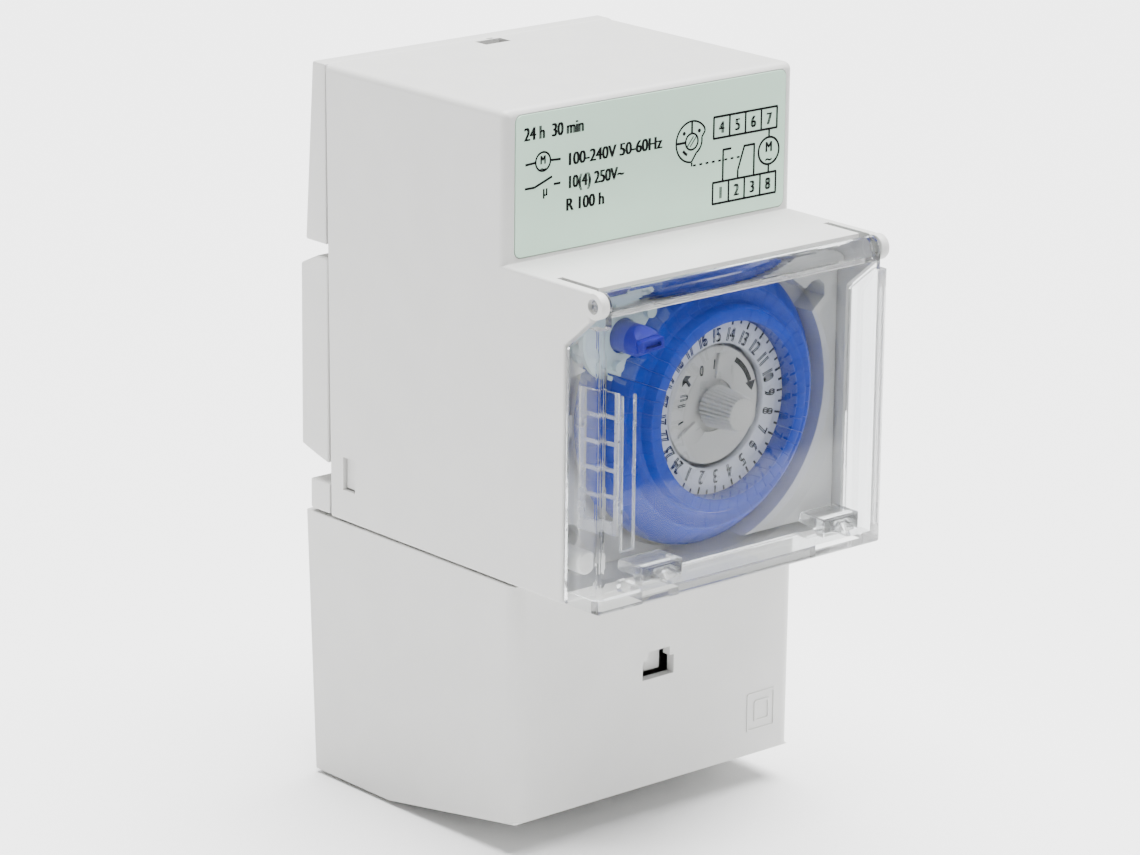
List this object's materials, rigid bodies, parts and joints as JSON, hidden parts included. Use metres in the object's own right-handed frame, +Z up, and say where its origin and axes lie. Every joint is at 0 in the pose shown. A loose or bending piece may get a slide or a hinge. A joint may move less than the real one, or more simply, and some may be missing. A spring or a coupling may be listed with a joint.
{
  "type": "programmable timer",
  "caption": "Rail-mounted analogue day timer: grey case, clear hinged cover over a dial of blue tilting tappets, lower terminal cover, wall rail adapter.",
  "frame": {"origin": "centre of the wall adapter's flat rear face, which lies against the wall, on the rail's centre line", "axes": "+Z up along the front panel, the front faces -Y, +X to the right seen from the front; +Y points into the wall"},
  "size_m": [0.053, 0.0651, 0.1056],
  "materials": {
    "housing": "light grey moulded ABS with a fine satin texture",
    "bezel": "mid-grey moulded plastic with a satin finish",
    "clear": "clear moulded polycarbonate with polished faces and slightly greyed edges",
    "tappet": "vivid blue moulded plastic with a soft sheen",
    "lever": "violet-blue moulded plastic",
    "number": "bluish white moulded plastic with printed dark figures",
    "disc": "warm light grey moulded plastic with printed marks",
    "selector": "pale cyan translucent plastic",
    "white_plastic": "white moulded acetal",
    "label": "pale green printed film",
    "black_plastic": "black glass-filled plastic",
    "steel": "bright zinc-plated or stainless steel",
    "brass": "plain brass",
    "board": "green solder-masked laminate"
  },
  "bodies": {
    "adapter": {"wall_rail_adapter": "housing"},
    "case": {"front_housing": "housing", "rear_base": "housing", "front_bezel": "bezel", "label_plate": "label", "terminal_block": "black_plastic", "centre_disc": "disc", "selector_plate": "selector", "circuit_board": "board", "backup_battery": "steel", "capacitor": "black_plastic", "stepper_motor": "steel", "switch_body": "black_plastic", "fixed_contact": "brass", "moving_contact": "brass", "gear_arbor": "steel", "dial_spindle": "steel", "movement_plate": "bezel", "terminal_screw_1": "steel", "terminal_screw_2": "steel", "terminal_screw_3": "steel", "terminal_screw_4": "steel", "terminal_screw_5": "steel", "terminal_screw_6": "steel", "terminal_screw_7": "steel", "terminal_screw_8": "steel", "terminal_clamp_1": "brass", "terminal_clamp_2": "brass", "terminal_clamp_3": "brass", "terminal_clamp_4": "brass", "terminal_clamp_5": "brass", "terminal_clamp_6": "brass", "terminal_clamp_7": "brass", "terminal_clamp_8": "brass", "latch_spring": "steel"},
    "clear_cover": {"clear_cover": "clear"},
    "terminal_cover": {"terminal_cover": "housing"},
    "dial": {"number_ring": "number", "dial_gear": "white_plastic"},
    "knob": {"setting_knob": "disc", "knob_gear": "white_plastic"},
    "idler": {"idler_gear": "white_plastic"},
    "motor_rotor": {"motor_pinion": "brass"},
    "lever": {"override_lever": "lever"},
    "rail_latch": {"rail_latch": "white_plastic"},
    "reset_pin": {"reset_pin": "white_plastic"},
    "switch_follower": {"switch_follower": "white_plastic"},
    "tappet_01": {"tappet_block_01": "tappet"},
    "tappet_02": {"tappet_block_02": "tappet"},
    "tappet_03": {"tappet_block_03": "tappet"},
    "tappet_04": {"tappet_block_04": "tappet"},
    "tappet_05": {"tappet_block_05": "tappet"},
    "tappet_06": {"tappet_block_06": "tappet"},
    "tappet_07": {"tappet_block_07": "tappet"},
    "tappet_08": {"tappet_block_08": "tappet"},
    "tappet_09": {"tappet_block_09": "tappet"},
    "tappet_10": {"tappet_block_10": "tappet"},
    "tappet_11": {"tappet_block_11": "tappet"},
    "tappet_12": {"tappet_block_12": "tappet"}
  },
  "joints": [
    {"name": "rail_slide", "type": "slide", "parent": "adapter", "child": "case", "axis": [1, 0, 0], "range_m": [0, 0.06]},
    {"name": "cover_hinge", "type": "hinge", "parent": "case", "child": "clear_cover", "pos_m": [0, -0.0631, 0.02], "axis": [-1, 0, 0], "range_deg": [0, 135]},
    {"name": "terminal_cover_pull", "type": "slide", "parent": "case", "child": "terminal_cover", "axis": [0, -1, 0], "range_m": [0, 0.05]},
    {"name": "dial_spin", "type": "hinge", "parent": "case", "child": "dial", "pos_m": [0.0014, -0.0566, 0], "axis": [0, 1, 0], "continuous": true},
    {"name": "knob_spin", "type": "hinge", "parent": "case", "child": "knob", "pos_m": [0.0014, -0.0621, 0], "axis": [0, 1, 0], "continuous": true},
    {"name": "idler_spin", "type": "hinge", "parent": "case", "child": "idler", "pos_m": [0.00965, -0.045, 0.01429], "axis": [0, 1, 0], "continuous": true},
    {"name": "motor_spin", "type": "hinge", "parent": "case", "child": "motor_rotor", "pos_m": [-0.0035, -0.0426, 0.0215], "axis": [0, 1, 0], "continuous": true},
    {"name": "lever_turn", "type": "hinge", "parent": "case", "child": "lever", "pos_m": [-0.0161, -0.0631, 0.0131], "axis": [0, 1, 0], "range_deg": [-30, 30]},
    {"name": "latch_slide", "type": "slide", "parent": "case", "child": "rail_latch", "axis": [0, 0, -1], "range_m": [0, 0.002], "stiffness_N_per_m": 800, "deforming": ["latch_spring"]},
    {"name": "reset_press", "type": "slide", "parent": "case", "child": "reset_pin", "axis": [0, 1, 0], "range_m": [0, 0.0012], "stiffness_N_per_m": 500},
    {"name": "follower_rock", "type": "hinge", "parent": "case", "child": "switch_follower", "pos_m": [-0.0218, -0.04525, 0], "axis": [0, 0, -1], "range_deg": [0, 5], "stiffness_Nm_per_rad": 0.02},
    {"name": "tappet_tilt_01", "type": "hinge", "parent": "dial", "child": "tappet_01", "pos_m": [0.01782, -0.051, 0.0044], "axis": [-0.2588, 0, 0.9659], "range_deg": [0, 6]},
    {"name": "tappet_tilt_02", "type": "hinge", "parent": "dial", "child": "tappet_02", "pos_m": [0.01342, -0.051, 0.01202], "axis": [-0.7071, 0, 0.7071], "range_deg": [0, 6]},
    {"name": "tappet_tilt_03", "type": "hinge", "parent": "dial", "child": "tappet_03", "pos_m": [0.0058, -0.051, 0.01642], "axis": [-0.9659, 0, 0.2588], "range_deg": [0, 6]},
    {"name": "tappet_tilt_04", "type": "hinge", "parent": "dial", "child": "tappet_04", "pos_m": [-0.003, -0.051, 0.01642], "axis": [-0.9659, 0, -0.2588], "range_deg": [0, 6]},
    {"name": "tappet_tilt_05", "type": "hinge", "parent": "dial", "child": "tappet_05", "pos_m": [-0.01062, -0.051, 0.01202], "axis": [-0.7071, 0, -0.7071], "range_deg": [0, 6]},
    {"name": "tappet_tilt_06", "type": "hinge", "parent": "dial", "child": "tappet_06", "pos_m": [-0.01502, -0.051, 0.0044], "axis": [-0.2588, 0, -0.9659], "range_deg": [0, 6]},
    {"name": "tappet_tilt_07", "type": "hinge", "parent": "dial", "child": "tappet_07", "pos_m": [-0.01502, -0.051, -0.0044], "axis": [0.2588, 0, -0.9659], "range_deg": [0, 6]},
    {"name": "tappet_tilt_08", "type": "hinge", "parent": "dial", "child": "tappet_08", "pos_m": [-0.01062, -0.051, -0.01202], "axis": [0.7071, 0, -0.7071], "range_deg": [0, 6]},
    {"name": "tappet_tilt_09", "type": "hinge", "parent": "dial", "child": "tappet_09", "pos_m": [-0.003, -0.051, -0.01642], "axis": [0.9659, 0, -0.2588], "range_deg": [0, 6]},
    {"name": "tappet_tilt_10", "type": "hinge", "parent": "dial", "child": "tappet_10", "pos_m": [0.0058, -0.051, -0.01642], "axis": [0.9659, 0, 0.2588], "range_deg": [0, 6]},
    {"name": "tappet_tilt_11", "type": "hinge", "parent": "dial", "child": "tappet_11", "pos_m": [0.01342, -0.051, -0.01202], "axis": [0.7071, 0, 0.7071], "range_deg": [0, 6]},
    {"name": "tappet_tilt_12", "type": "hinge", "parent": "dial", "child": "tappet_12", "pos_m": [0.01782, -0.051, -0.0044], "axis": [0.2588, 0, 0.9659], "range_deg": [0, 6]}
  ],
  "couplings": [
    {"joint": "idler_spin", "follows": "dial_spin", "ratio": -4.5},
    {"joint": "knob_spin", "follows": "dial_spin", "ratio": 12},
    {"joint": "motor_spin", "follows": "dial_spin", "ratio": 18}
  ]
}
